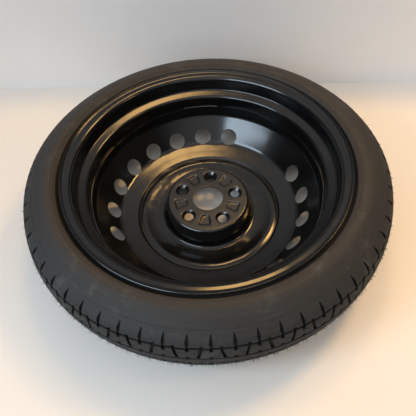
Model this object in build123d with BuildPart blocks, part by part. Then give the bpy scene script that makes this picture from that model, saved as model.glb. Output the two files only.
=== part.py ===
"""Space saver spare wheel: steel band and dish, temporary-use tyre and snap-in tyre valve.

Millimetres. The spin axis is Z, +Z points to the vehicle side (inboard), and the origin is the
centre of the hub mounting face. Rim and tyre sections are drawn from the rim's middle plane.
"""

import os
from math import atan, cos, degrees, hypot, radians, sin, sqrt, tan

from build123d import *

# Driving sizes: rim band
SEAT_RADIUS = 218.3
FLANGE_HEIGHT = 17.5
RIM_WIDTH = 105.0
RIM_SHEET = 2.4
WHEEL_OFFSET = 40.0
WELL_DEPTH = 17.5
SEAT_WIDTH = 26.5
SEAT_TAPER = 5.0
WELL_RAMP = 5.5
OUTER_SEAT_WIDTH = 22.5
OUTER_RAMP = 13.0
LIP_TURN = 50.0
LIP_STRAIGHT = 1.0
FLANGE_BEND = 9.5
HEEL_BEND = 6.5
WELL_BEND = 4.0

# Driving sizes: dish, with its middle rings placed between hub wall and outer wall
DISC_SHEET = 3.0
BORE_RADIUS = 27.05
BORE_ROUND = 1.0
HUB_RADIUS = 73.0
HUB_ROUND = 6.0
HUB_DEPTH = 40.3
HUB_WALL = 5.0
CROWN_PLACE = 0.3275
CROWN_ROUND = 13.0
SLOPE_ROUND = 19.5
EDGE_PLACE = 0.5436
EDGE_DEPTH = 33.4
EDGE_ROUND = 6.0
STEP_START = 0.6222
STEP_END = 0.6812
STEP_HEIGHT = 2.8
STEP_ROUND_IN = 3.0
STEP_ROUND_OUT = 4.8
WALL_ANGLE = 51.6
WALL_ROUND = 22.0
FLANGE_ROUND = 15.0
FLANGE_TOP = 39.1
NOTCH_DEPTH = 2.8
NOTCH_ARC = 22.0
VENT_RADIUS = 16.5
VENT_INSET = 26.35
VENT_DEPTH = 12.1
VENT_PITCH = 18.0
VENT_GROUP = 8
VENT_GAP_ANGLE = 45.4

# Driving sizes: hub face
BOLT_CIRCLE = 100.0
BOLT_COUNT = 5
BOLT_HOLE_RADIUS = 7.75
BOLT_ANGLE = 81.4
BOLT_PAD_RADIUS = 12.2
BOLT_PAD_DEPTH = 2.6
CONE_DEPTH = 1.8
CONE_ANGLE = 30.0
POCKET_INNER = 36.6
POCKET_OUTER = 58.8
POCKET_NARROW = 14.6
POCKET_WIDE = 24.0
POCKET_ROUND = 3.5
POCKET_DEPTH = 1.6
PRESS_TAPER = 20.0

# Driving sizes: welds
JOINT_GAP = 0.05
WELD_LEG = 3.2
WELD_BULGE = 0.62
WELD_ARC = 20.0
WELD_COUNT = 4

# Driving sizes: tyre
TYRE_RADIUS = 303.6
CROWN_CURVE = 97.0
TREAD_HALF = 39.0
SECTION_WIDTH = 124.0
WALL_PLACE = 0.4395
WALL_BULGE = 1.5
BELLY_BULGE = 1.6
WALL_THICK = 6.0
TREAD_THICK = 13.0
SHOULDER_THICK = 15.0
BEAD_GAP = 0.2
BEAD_WIDTH = 15.0
BEAD_TOE_ROUND = 1.5
BEAD_RISE = 8.0
BEAD_LEAN = 1.5
TOUCH_RISE = 10.3
TOUCH_ROUND = 3.0
LIP_CLEAR_UP = 3.2
LIP_CLEAR_OUT = 2.0
GROOVE_WIDTH = 3.2
GROOVE_DEPTH = 3.8
GROOVE_OUTER = 31.5
GROOVE_INNER = 8.0
PITCH_COUNT = 60
PITCH_STAGGER = 0.5
NOTCH_ANGLE = -91.8
SLOT_WIDTH = 3.4
SLOT_SLANT = 2.6
SLOT_DEPTH = 3.0
SHOULDER_LENGTH = 17.0
SHOULDER_WIDE = 5.2
SHOULDER_NARROW = 1.6
SHOULDER_DEPTH = 3.2
SHOULDER_LEAN = 50.0
SHOULDER_DROP = 3.3
SHOULDER_OUT = 2.3

# Driving sizes: tyre valve, heights along its own axis from the rim face
VALVE_HOLE_RADIUS = 5.75
VALVE_BULB_RADIUS = 7.2
VALVE_BASE_RADIUS = 7.0
VALVE_BASE_HEIGHT = 2.5
VALVE_TAPER_RADIUS = 5.4
VALVE_TAPER_HEIGHT = 8.4
VALVE_NECK_RADIUS = 4.9
VALVE_RUBBER_TOP = 21.0
VALVE_INSIDE = 7.0
VALVE_SEAT_GAP = 0.1
STEM_RADIUS = 3.1
STEM_BORE = 1.9
STEM_THREAD = 3.85
STEM_TOP = 32.0
CORE_BORE = 2.75
CORE_SEAT_LOW = 22.5
CORE_SEAT_HIGH = 24.5
CORE_GAP = 0.03
BARREL_RADIUS = 1.75
BARREL_BORE = 1.25
BARREL_LOW = 14.0
BARREL_FLOOR = 1.0
PLUG_LOW = 27.0
PLUG_HIGH = 31.4
GASKET_LIFT = 0.6
GASKET_BAND = 0.8
PIN_RADIUS = 0.5
PIN_BORE = 0.75
PIN_TOP = 31.8
COLLAR_RADIUS = 1.1
COLLAR_GAP = 0.5
COLLAR_HEIGHT = 0.5
CUP_RADIUS = 1.6
CUP_HEIGHT = 1.6
SEAL_THICK = 0.4
SPRING_RADIUS = 0.9
SPRING_WIRE = 0.14
SPRING_TURNS = 4
CAP_LOW = 25.7
CAP_WALL = 0.82
CAP_ROOF = 2.04
CAP_CHAMFER = 1.0
THREAD_GAP = 0.08
CAP_SEAL_BORE = 2.2
CAP_SEAL_THICK = 0.9

# Derived values
half = RIM_WIDTH / 2
flange_radius = SEAT_RADIUS + FLANGE_HEIGHT
well_radius = SEAT_RADIUS - WELL_DEPTH
well_inner = well_radius - RIM_SHEET
taper = tan(radians(SEAT_TAPER))
pitch_angle = 360 / PITCH_COUNT
section = Plane(origin=(0, 0, WHEEL_OFFSET), x_dir=(1, 0, 0), z_dir=(0, -1, 0))


def section_at(angle):
    """Return the half plane through the spin axis at an angle, local y along Z."""
    a = radians(angle)
    return Plane(origin=(0, 0, 0), x_dir=(cos(a), sin(a), 0), z_dir=(sin(a), -cos(a), 0))


def facing_plane(angle, radius, height, lean):
    """Return a plane at a radius and height whose normal leans up from the radial direction.

    Its local x runs round the wheel and its local y runs across it.
    """
    a = radians(angle)
    b = radians(lean)
    return Plane(
        origin=(radius * cos(a), radius * sin(a), height),
        x_dir=(-sin(a), cos(a), 0),
        z_dir=(cos(b) * cos(a), cos(b) * sin(a), sin(b)),
    )


def crown_radius(height):
    """Return the tread's radius at a distance from the middle plane."""
    return TYRE_RADIUS - CROWN_CURVE + sqrt(CROWN_CURVE**2 - height**2)


# Rim band: one rolled sheet, drawn on its tyre side and thickened away from the tyre
lip_run = FLANGE_BEND * tan(radians(LIP_TURN / 2)) + LIP_STRAIGHT
lip_root = flange_radius - lip_run * cos(radians(LIP_TURN))
lip_rise = lip_run * sin(radians(LIP_TURN))
seat_end = half - SEAT_WIDTH
seat_low = SEAT_RADIUS - taper * SEAT_WIDTH
well_top = seat_end - WELL_RAMP
slope_end = OUTER_SEAT_WIDTH - half
slope_low = SEAT_RADIUS - taper * OUTER_SEAT_WIDTH
well_bottom = slope_end + OUTER_RAMP

# The valve stands square on the middle of the outboard ramp
slope_length = hypot(slope_low - well_radius, OUTER_RAMP)
lean_r = -OUTER_RAMP / slope_length
lean_c = -(slope_low - well_radius) / slope_length
vent_gap = radians(VENT_GAP_ANGLE)
valve_dir = Vector(lean_r * cos(vent_gap), lean_r * sin(vent_gap), lean_c)
valve_side = Vector(-sin(vent_gap), cos(vent_gap), 0)
valve_foot_r = (well_radius + slope_low) / 2 + lean_r * RIM_SHEET
valve_foot_z = (well_bottom + slope_end) / 2 + lean_c * RIM_SHEET + WHEEL_OFFSET
valve_foot = Vector(valve_foot_r * cos(vent_gap), valve_foot_r * sin(vent_gap), valve_foot_z)
valve_axis = Axis(valve_foot, valve_dir)
valve_section = Plane(origin=valve_foot, x_dir=valve_side, z_dir=valve_side.cross(valve_dir))
valve_face = Plane(origin=valve_foot, x_dir=valve_side, z_dir=valve_dir)

with BuildPart() as rim_band:
    with BuildSketch(section):
        with BuildLine():
            FilletPolyline(
                (flange_radius, half + lip_rise),
                (lip_root, half),
                (SEAT_RADIUS, half),
                (seat_low, seat_end),
                (well_radius, well_top),
                (well_radius, well_bottom),
                (slope_low, slope_end),
                (SEAT_RADIUS, -half),
                (lip_root, -half),
                (flange_radius, -half - lip_rise),
                radius=(
                    FLANGE_BEND,
                    HEEL_BEND,
                    HEEL_BEND,
                    WELL_BEND,
                    WELL_BEND,
                    HEEL_BEND,
                    HEEL_BEND,
                    FLANGE_BEND,
                ),
            )
            offset(amount=RIM_SHEET, side=Side.RIGHT)
        make_face()
    revolve(axis=Axis.Z)
    with BuildSketch(valve_face):
        Circle(VALVE_HOLE_RADIUS)
    extrude(amount=2 * RIM_SHEET, both=True, mode=Mode.SUBTRACT)
rim_band.part.label = "rim_band"

# Dish: one pressed sheet, drawn on its inboard side and thickened outboard
flange_inner = well_inner - JOINT_GAP - DISC_SHEET
vent_ring = flange_inner - VENT_INSET
wall_slope = tan(radians(WALL_ANGLE))
ring_depth = EDGE_DEPTH - STEP_HEIGHT
wall_foot = vent_ring - (ring_depth - VENT_DEPTH) / wall_slope
wall_top = VENT_INSET * wall_slope - VENT_DEPTH
crown_inner = HUB_RADIUS + HUB_WALL
dish_span = wall_foot - crown_inner
crown_width = CROWN_PLACE * dish_span
crown_round = min(CROWN_ROUND, 0.55 * crown_width)
first_vent = VENT_GAP_ANGLE + 90 - VENT_PITCH * (VENT_GROUP - 1) / 2
vent_planes = []
for side in range(2):
    for k in range(VENT_GROUP):
        angle = first_vent + 180 * side + VENT_PITCH * k
        vent_planes.append(facing_plane(angle, vent_ring, -VENT_DEPTH, WALL_ANGLE - 90))
pocket_middle = (POCKET_INNER + POCKET_OUTER) / 2
pocket_reach = (POCKET_OUTER - POCKET_INNER) / 2
pocket_angle = BOLT_ANGLE + 180 / BOLT_COUNT
pocket_corners = (
    (-pocket_reach, -POCKET_NARROW / 2),
    (pocket_reach, -POCKET_WIDE / 2),
    (pocket_reach, POCKET_WIDE / 2),
    (-pocket_reach, POCKET_NARROW / 2),
)
relief_planes = []
for k in range(WELD_COUNT):
    relief_planes.append(section_at(VENT_GAP_ANGLE + 360 * k / WELD_COUNT - NOTCH_ARC / 2))

with BuildPart() as wheel_disc:
    with BuildSketch(Plane.XZ):
        with BuildLine():
            FilletPolyline(
                (BORE_RADIUS, 0),
                (HUB_RADIUS, 0),
                (crown_inner, -HUB_DEPTH),
                (crown_inner + crown_width, -HUB_DEPTH),
                (crown_inner + EDGE_PLACE * dish_span, -EDGE_DEPTH),
                (crown_inner + STEP_START * dish_span, -EDGE_DEPTH),
                (crown_inner + STEP_END * dish_span, -ring_depth),
                (wall_foot, -ring_depth),
                (flange_inner, wall_top),
                (flange_inner, FLANGE_TOP),
                radius=(
                    HUB_ROUND,
                    crown_round,
                    SLOPE_ROUND,
                    EDGE_ROUND,
                    STEP_ROUND_IN,
                    STEP_ROUND_OUT,
                    WALL_ROUND,
                    FLANGE_ROUND,
                ),
            )
            offset(amount=DISC_SHEET, side=Side.RIGHT)
        make_face()
    revolve(axis=Axis.Z)
    # Pads pressed outboard under the bolt recesses and the pockets
    with BuildSketch(Plane.XY.offset(-DISC_SHEET)):
        with PolarLocations(BOLT_CIRCLE / 2, BOLT_COUNT, start_angle=BOLT_ANGLE):
            Circle(BOLT_PAD_RADIUS)
    extrude(amount=-BOLT_PAD_DEPTH)
    with BuildSketch(Plane.XY.offset(-DISC_SHEET)) as pads:
        with PolarLocations(pocket_middle, BOLT_COUNT, start_angle=pocket_angle):
            Polygon(*pocket_corners)
        fillet(pads.vertices(), POCKET_ROUND)
    extrude(amount=-POCKET_DEPTH)
    # Recesses on the inboard face
    with BuildSketch(Plane.XY):
        with PolarLocations(BOLT_CIRCLE / 2, BOLT_COUNT, start_angle=BOLT_ANGLE):
            Circle(BOLT_PAD_RADIUS)
    extrude(amount=-BOLT_PAD_DEPTH, taper=PRESS_TAPER, mode=Mode.SUBTRACT)
    with BuildSketch(Plane.XY) as pockets:
        with PolarLocations(pocket_middle, BOLT_COUNT, start_angle=pocket_angle):
            Polygon(*pocket_corners)
        fillet(pockets.vertices(), POCKET_ROUND)
    extrude(amount=-POCKET_DEPTH, taper=PRESS_TAPER, mode=Mode.SUBTRACT)
    # Bolt holes with their cone seats on the outboard side
    with PolarLocations(BOLT_CIRCLE / 2, BOLT_COUNT, start_angle=BOLT_ANGLE):
        Cylinder(BOLT_HOLE_RADIUS, 8 * DISC_SHEET, mode=Mode.SUBTRACT)
    with Locations((0, 0, -DISC_SHEET - BOLT_PAD_DEPTH)):
        with PolarLocations(BOLT_CIRCLE / 2, BOLT_COUNT, start_angle=BOLT_ANGLE):
            Cone(
                BOLT_HOLE_RADIUS + CONE_DEPTH * tan(radians(CONE_ANGLE)),
                BOLT_HOLE_RADIUS,
                CONE_DEPTH,
                align=(Align.CENTER, Align.CENTER, Align.MIN),
                mode=Mode.SUBTRACT,
            )
    # Vent holes, punched square to the sloping wall
    with BuildSketch(*vent_planes):
        Circle(VENT_RADIUS)
    extrude(amount=4 * DISC_SHEET, both=True, mode=Mode.SUBTRACT)
    # Low stretches of the flange edge between the welds
    with BuildSketch(*relief_planes):
        with Locations((flange_inner, FLANGE_TOP)):
            Rectangle(4 * DISC_SHEET, 2 * NOTCH_DEPTH)
    revolve(axis=Axis.Z, revolution_arc=NOTCH_ARC, mode=Mode.SUBTRACT)
    # Rounded outboard edge of the hub bore
    back_circles = wheel_disc.edges().filter_by(GeomType.CIRCLE)
    back_circles = back_circles.filter_by_position(Axis.Z, -DISC_SHEET - 0.01, -DISC_SHEET + 0.01)
    bore_edge = back_circles.filter_by(lambda edge: abs(edge.radius - BORE_RADIUS) < 0.01)
    fillet(bore_edge, BORE_ROUND)
wheel_disc.part.label = "wheel_disc"

# Weld runs along the dish's flange edge
weld_planes = []
for k in range(WELD_COUNT):
    weld_planes.append(section_at(360 * k / WELD_COUNT - WELD_ARC / 2))
weld_wall = well_inner - JOINT_GAP
weld_floor = FLANGE_TOP + JOINT_GAP
weld_middle = WELD_BULGE * WELD_LEG

with BuildPart() as weld_beads:
    with BuildSketch(*weld_planes):
        with BuildLine():
            Line((weld_wall - WELD_LEG, weld_floor), (weld_wall, weld_floor))
            Line((weld_wall, weld_floor), (weld_wall, weld_floor + WELD_LEG))
            ThreePointArc(
                (weld_wall, weld_floor + WELD_LEG),
                (weld_wall - weld_middle, weld_floor + weld_middle),
                (weld_wall - WELD_LEG, weld_floor),
            )
        make_face()
    revolve(axis=Axis.Z, revolution_arc=WELD_ARC)
weld_beads.part.label = "weld_beads"

# Tyre: half section from crown to bead and back along the liner, then mirrored
tread_edge = Vector(crown_radius(TREAD_HALF), TREAD_HALF)
crown_middle = Vector(crown_radius(TREAD_HALF / 2), TREAD_HALF / 2)
wall_height = tread_edge.X - flange_radius
wall_start = Vector(flange_radius + WALL_PLACE * wall_height, SECTION_WIDTH / 2 - BELLY_BULGE)
wall_run = (wall_start - tread_edge).normalized()
wall_out = Vector(wall_run.Y, -wall_run.X)
wall_middle = (tread_edge + wall_start) / 2 + wall_out * WALL_BULGE
bead_face = half - BEAD_GAP
bead_seat = SEAT_RADIUS + BEAD_GAP
bead_toe = bead_face - BEAD_WIDTH
flange_gap = Vector(flange_radius + LIP_CLEAR_UP, half + LIP_CLEAR_OUT)
liner_foot = Vector(bead_seat + BEAD_RISE, bead_toe + BEAD_LEAN)
liner_shoulder = Vector(tread_edge.X - SHOULDER_THICK, TREAD_HALF)
liner_middle = Vector(crown_middle.X - TREAD_THICK, crown_middle.Y)
liner_crown = Vector(TYRE_RADIUS - TREAD_THICK, 0)

groove_centres = []
for height in (GROOVE_OUTER, GROOVE_INNER, -GROOVE_INNER, -GROOVE_OUTER):
    groove_centres.append((crown_radius(height), height))

row_middle = (GROOVE_OUTER + GROOVE_INNER) / 2
row_reach = (GROOVE_OUTER - GROOVE_INNER) / 2
row_lean = degrees(atan(row_middle / (crown_radius(row_middle) - TYRE_RADIUS + CROWN_CURVE)))
row_radius = crown_radius(row_middle) - SLOT_DEPTH
notch_floor_r = tread_edge.X - SHOULDER_DROP - SHOULDER_DEPTH * cos(radians(SHOULDER_LEAN))
notch_floor_c = TREAD_HALF + SHOULDER_OUT - SHOULDER_DEPTH * sin(radians(SHOULDER_LEAN))

with BuildPart() as tyre:
    with BuildSketch(section):
        with BuildLine():
            ThreePointArc((TYRE_RADIUS, 0), crown_middle, tread_edge)
            wall_arc = ThreePointArc(tread_edge, wall_middle, wall_start)
            belly = TangentArc(wall_start, flange_gap, tangent=wall_arc % 1)
            FilletPolyline(
                flange_gap,
                (SEAT_RADIUS + TOUCH_RISE, bead_face),
                (bead_seat, bead_face),
                (bead_seat - taper * BEAD_WIDTH, bead_toe),
                liner_foot,
                radius=(TOUCH_ROUND, HEEL_BEND + BEAD_GAP, BEAD_TOE_ROUND),
            )
            belly_run = belly % 0.5
            liner_wall = belly @ 0.5 - Vector(belly_run.Y, -belly_run.X) * WALL_THICK
            liner_pull = liner_wall * 2 - (liner_foot + liner_shoulder) / 2
            Bezier(liner_foot, liner_pull, liner_shoulder)
            ThreePointArc(liner_shoulder, liner_middle, liner_crown)
            mirror(about=Plane.XZ)
        make_face()
    revolve(axis=Axis.Z)
    # Grooves round the tread
    with BuildSketch(section):
        with Locations(*groove_centres):
            Rectangle(2 * GROOVE_DEPTH, GROOVE_WIDTH)
    revolve(axis=Axis.Z, mode=Mode.SUBTRACT)
    # Slots across the two rows beside the middle rib, leaning one way and the other by turns
    for side, stagger in ((1, 0), (-1, PITCH_STAGGER)):
        for turn in (0, 1):
            slot_planes = []
            for k in range(PITCH_COUNT // 2):
                angle = NOTCH_ANGLE + pitch_angle * (2 * k + turn + 0.5 + stagger)
                height = WHEEL_OFFSET + side * row_middle
                slot_planes.append(facing_plane(angle, row_radius, height, side * row_lean))
            slant = SLOT_SLANT * (1 - 2 * turn)
            with BuildSketch(*slot_planes):
                Polygon(
                    (slant - SLOT_WIDTH / 2, -side * row_reach),
                    (slant + SLOT_WIDTH / 2, -side * row_reach),
                    (SLOT_WIDTH / 2 - slant, side * row_reach),
                    (-SLOT_WIDTH / 2 - slant, side * row_reach),
                )
            extrude(amount=3 * SLOT_DEPTH, mode=Mode.SUBTRACT)
    # Tapered notches in both shoulders
    for side, stagger in ((1, 0), (-1, PITCH_STAGGER)):
        shoulder_planes = []
        for k in range(PITCH_COUNT):
            angle = NOTCH_ANGLE + pitch_angle * (k + stagger)
            height = WHEEL_OFFSET + side * notch_floor_c
            shoulder_planes.append(facing_plane(angle, notch_floor_r, height, side * SHOULDER_LEAN))
        with BuildSketch(*shoulder_planes):
            Polygon(
                (-SHOULDER_WIDE / 2, -side * SHOULDER_LENGTH / 2),
                (SHOULDER_WIDE / 2, -side * SHOULDER_LENGTH / 2),
                (SHOULDER_NARROW / 2, side * SHOULDER_LENGTH / 2),
                (-SHOULDER_NARROW / 2, side * SHOULDER_LENGTH / 2),
            )
        extrude(amount=3 * SHOULDER_DEPTH, mode=Mode.SUBTRACT)
tyre.part.label = "tyre"

# Tyre valve: every piece is turned about the valve's axis
inside_face = -RIM_SHEET - VALVE_SEAT_GAP
inside_end = inside_face - VALVE_INSIDE
with BuildPart() as valve_body:
    with BuildSketch(valve_section):
        Polygon(
            (STEM_RADIUS + CORE_GAP, inside_end),
            (VALVE_HOLE_RADIUS, inside_end),
            (VALVE_BULB_RADIUS, inside_face),
            (VALVE_HOLE_RADIUS - CORE_GAP, inside_face),
            (VALVE_HOLE_RADIUS - CORE_GAP, VALVE_SEAT_GAP),
            (VALVE_BASE_RADIUS, VALVE_SEAT_GAP),
            (VALVE_BASE_RADIUS, VALVE_BASE_HEIGHT),
            (VALVE_TAPER_RADIUS, VALVE_TAPER_HEIGHT),
            (VALVE_NECK_RADIUS, VALVE_RUBBER_TOP),
            (STEM_RADIUS + CORE_GAP, VALVE_RUBBER_TOP),
            align=None,
        )
    revolve(axis=valve_axis)
valve_body.part.label = "valve_body"

with BuildPart() as valve_stem:
    with BuildSketch(valve_section):
        Polygon(
            (STEM_BORE, inside_end),
            (STEM_RADIUS, inside_end),
            (STEM_RADIUS, VALVE_RUBBER_TOP + CORE_GAP),
            (STEM_THREAD, VALVE_RUBBER_TOP + CORE_GAP),
            (STEM_THREAD, STEM_TOP),
            (CORE_BORE, STEM_TOP),
            (CORE_BORE, CORE_SEAT_HIGH),
            (STEM_BORE, CORE_SEAT_LOW),
            align=None,
        )
    revolve(axis=valve_axis)
valve_stem.part.label = "valve_stem"

with BuildPart() as core_plug:
    with BuildSketch(valve_section):
        Polygon(
            (PIN_BORE, PLUG_LOW),
            (CORE_BORE - CORE_GAP, PLUG_LOW),
            (CORE_BORE - CORE_GAP, PLUG_HIGH),
            (PIN_BORE, PLUG_HIGH),
            align=None,
        )
    revolve(axis=valve_axis)
core_plug.part.label = "core_plug"

barrel_top = PLUG_LOW - CORE_GAP
barrel_floor = BARREL_LOW + BARREL_FLOOR
with BuildPart() as core_barrel:
    with BuildSketch(valve_section):
        Polygon(
            (PIN_BORE, BARREL_LOW),
            (BARREL_RADIUS, BARREL_LOW),
            (BARREL_RADIUS, barrel_top),
            (BARREL_BORE, barrel_top),
            (BARREL_BORE, barrel_floor),
            (PIN_BORE, barrel_floor),
            align=None,
        )
    revolve(axis=valve_axis)
core_barrel.part.label = "core_barrel"

seat_rate = (CORE_BORE - STEM_BORE) / (CORE_SEAT_HIGH - CORE_SEAT_LOW)
gasket_low = CORE_SEAT_LOW + GASKET_LIFT
gasket_high = CORE_SEAT_HIGH + GASKET_BAND
gasket_inner = BARREL_RADIUS + CORE_GAP
gasket_outer = CORE_BORE - 2 * CORE_GAP
with BuildPart() as core_gasket:
    with BuildSketch(valve_section):
        Polygon(
            (gasket_inner, gasket_low),
            (STEM_BORE + seat_rate * GASKET_LIFT - 2 * CORE_GAP, gasket_low),
            (gasket_outer, CORE_SEAT_HIGH),
            (gasket_outer, gasket_high),
            (gasket_inner, gasket_high),
            align=None,
        )
    revolve(axis=valve_axis)
core_gasket.part.label = "core_gasket"

seal_top = BARREL_LOW - CORE_GAP
cup_top = seal_top - SEAL_THICK - CORE_GAP
cup_low = cup_top - CUP_HEIGHT
collar_top = PLUG_LOW - COLLAR_GAP
collar_low = collar_top - COLLAR_HEIGHT
with BuildPart() as core_pin:
    with BuildSketch(valve_section):
        Polygon(
            (0, cup_low),
            (PIN_RADIUS, cup_low),
            (PIN_RADIUS, collar_low),
            (COLLAR_RADIUS, collar_low),
            (COLLAR_RADIUS, collar_top),
            (PIN_RADIUS, collar_top),
            (PIN_RADIUS, PIN_TOP),
            (0, PIN_TOP),
            align=None,
        )
    revolve(axis=valve_axis)
core_pin.part.label = "core_pin"

with BuildPart() as core_cup:
    with BuildSketch(valve_section):
        Polygon(
            (PIN_RADIUS + CORE_GAP, cup_low),
            (CUP_RADIUS, cup_low),
            (CUP_RADIUS, cup_top),
            (PIN_RADIUS + CORE_GAP, cup_top),
            align=None,
        )
    revolve(axis=valve_axis)
core_cup.part.label = "core_cup"

with BuildPart() as core_seal:
    with BuildSketch(valve_section):
        Polygon(
            (PIN_RADIUS + CORE_GAP, cup_top + CORE_GAP),
            (CUP_RADIUS, cup_top + CORE_GAP),
            (CUP_RADIUS, seal_top),
            (PIN_RADIUS + CORE_GAP, seal_top),
            align=None,
        )
    revolve(axis=valve_axis)
core_seal.part.label = "core_seal"

spring_low = barrel_floor + SPRING_WIRE + CORE_GAP
spring_high = collar_low - SPRING_WIRE - CORE_GAP
spring_height = spring_high - spring_low
with BuildPart() as core_spring:
    with BuildLine() as coil:
        Helix(
            spring_height / SPRING_TURNS,
            spring_height,
            SPRING_RADIUS,
            center=valve_foot + valve_dir * spring_low,
            direction=valve_dir,
        )
    with BuildSketch(Plane(origin=coil.line @ 0, z_dir=coil.line % 0)):
        Circle(SPRING_WIRE)
    sweep(path=coil.line, is_frenet=True)
core_spring.part.label = "core_spring"

cap_bore = STEM_THREAD + THREAD_GAP
cap_radius = cap_bore + CAP_WALL
cap_seal_low = STEM_TOP + CORE_GAP
cap_seal_high = cap_seal_low + CAP_SEAL_THICK
cap_ceiling = cap_seal_high + CORE_GAP
cap_top = cap_ceiling + CAP_ROOF
with BuildPart() as valve_cap:
    with BuildSketch(valve_section):
        Polygon(
            (cap_bore, CAP_LOW),
            (cap_radius, CAP_LOW),
            (cap_radius, cap_top - CAP_CHAMFER),
            (cap_radius - CAP_CHAMFER, cap_top),
            (0, cap_top),
            (0, cap_ceiling),
            (cap_bore, cap_ceiling),
            align=None,
        )
    revolve(axis=valve_axis)
valve_cap.part.label = "valve_cap"

with BuildPart() as cap_seal:
    with BuildSketch(valve_section):
        Polygon(
            (CAP_SEAL_BORE, cap_seal_low),
            (cap_bore - CORE_GAP, cap_seal_low),
            (cap_bore - CORE_GAP, cap_seal_high),
            (CAP_SEAL_BORE, cap_seal_high),
            align=None,
        )
    revolve(axis=valve_axis)
cap_seal.part.label = "cap_seal"

# Export
os.makedirs("parts", exist_ok=True)
for piece in (
    rim_band,
    wheel_disc,
    weld_beads,
    tyre,
    valve_body,
    valve_stem,
    core_plug,
    core_barrel,
    core_gasket,
    core_pin,
    core_cup,
    core_seal,
    core_spring,
    valve_cap,
    cap_seal,
):
    export_step(piece.part, "parts/" + piece.part.label + ".step")
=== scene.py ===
"""Looks of a space saver spare wheel: coated steel dish and rim, narrow tyre and tyre valve.

Lengths in the classes are millimetres and angles degrees, unless a class says otherwise; meshes are made
in metres in the shared frame, with the spin axis along Z, the hub's mounting face at zero and the inboard
side up.
"""

import logging
import math
from dataclasses import dataclass
from enum import Enum
from typing import Callable, Sequence

import bmesh
import bpy
import numpy as np
from mathutils import Matrix, Vector


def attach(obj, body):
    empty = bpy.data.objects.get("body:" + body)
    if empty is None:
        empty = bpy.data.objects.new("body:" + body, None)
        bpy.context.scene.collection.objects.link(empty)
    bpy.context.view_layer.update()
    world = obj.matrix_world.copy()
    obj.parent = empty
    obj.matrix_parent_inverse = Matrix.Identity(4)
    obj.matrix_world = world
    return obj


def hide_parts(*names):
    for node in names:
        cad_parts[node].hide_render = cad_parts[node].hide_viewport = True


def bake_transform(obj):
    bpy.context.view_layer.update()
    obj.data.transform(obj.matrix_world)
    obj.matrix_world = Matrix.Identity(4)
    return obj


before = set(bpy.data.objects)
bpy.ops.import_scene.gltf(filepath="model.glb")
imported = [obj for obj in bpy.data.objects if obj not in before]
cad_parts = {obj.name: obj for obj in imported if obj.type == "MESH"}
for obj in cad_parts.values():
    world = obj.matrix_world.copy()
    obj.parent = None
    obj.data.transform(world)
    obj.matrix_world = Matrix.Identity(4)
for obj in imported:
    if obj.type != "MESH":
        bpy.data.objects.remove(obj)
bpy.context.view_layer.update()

LOG = logging.getLogger("spare_wheel")
MM = 0.001
TURN = 2 * math.pi
SMOOTH_BELOW = 60.0
Colour = tuple[float, float, float]
Spot = tuple[float, float, float]
Corner = tuple[float, float, float]


class NodeTree:
    """A node tree and the methods that add its nodes."""

    def __init__(self, tree: bpy.types.NodeTree) -> None:
        """Keep the tree."""
        self.tree = tree

    def node(self, kind: str, settings: dict | None = None, inputs: dict | None = None) -> bpy.types.Node:
        """Add a node.

        Args:
            kind: The node's type.
            settings: Its settings, set before its sockets.
            inputs: Values or links of its sockets, by name or number.

        Returns:
            The node.
        """
        node = self.tree.nodes.new(kind)
        for name, value in (settings or {}).items():
            setattr(node, name, value)
        for key, value in (inputs or {}).items():
            self.fill(node.inputs[key], value)
        return node

    def fill(self, socket: bpy.types.NodeSocket, value: object) -> None:
        """Link a socket or set its value.

        Args:
            socket: The socket.
            value: A value of the tree, one of its sockets, or a plain value; a colour has three numbers.
        """
        link = value.socket if isinstance(value, Shade) else value
        if isinstance(link, bpy.types.NodeSocket):
            self.tree.links.new(link, socket)
        elif socket.type == "RGBA":
            socket.default_value = (*link, 1.0)
        else:
            socket.default_value = link

    def value(
        self, kind: str, settings: dict | None = None, inputs: dict | None = None, output: int | str = 0
    ) -> "Shade":
        """Add a node and give one of its outputs, by name or number."""
        return Shade(self, self.node(kind, settings, inputs).outputs[output])


def operator(operation: str, swapped: bool = False) -> Callable[["Shade", "Shade | float"], "Shade"]:
    """Make an arithmetic method of Shade from a Math node.

    Args:
        operation: The node's operation.
        swapped: Whether the other value comes first.

    Returns:
        The method.
    """

    def method(self: "Shade", other: "Shade | float") -> "Shade":
        """Give the result."""
        values = (other, self) if swapped else (self, other)
        return self.nodes.value("ShaderNodeMath", {"operation": operation}, dict(enumerate(values)))

    return method


class Shade:
    """A value in a node tree, so that shader maths reads as plain arithmetic."""

    __add__ = operator("ADD")
    __radd__ = operator("ADD", swapped=True)
    __sub__ = operator("SUBTRACT")
    __rsub__ = operator("SUBTRACT", swapped=True)
    __mul__ = operator("MULTIPLY")
    __pow__ = operator("POWER")

    def __init__(self, nodes: NodeTree, socket: bpy.types.NodeSocket) -> None:
        """Keep the tree and the socket that gives the value."""
        self.nodes = nodes
        self.socket = socket

    def step(self, low: float, high: float) -> "Shade":
        """Rise softly from 0 to 1.

        Args:
            low: Value at which the rise starts.
            high: Value at which it ends; less than low turns it round.

        Returns:
            The soft step.
        """
        settings = {"interpolation_type": "SMOOTHSTEP", "clamp": True}
        inputs = {"Value": self, "From Min": min(low, high), "From Max": max(low, high)}
        rise = self.nodes.value("ShaderNodeMapRange", settings, inputs)
        return rise if low < high else 1.0 - rise


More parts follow.
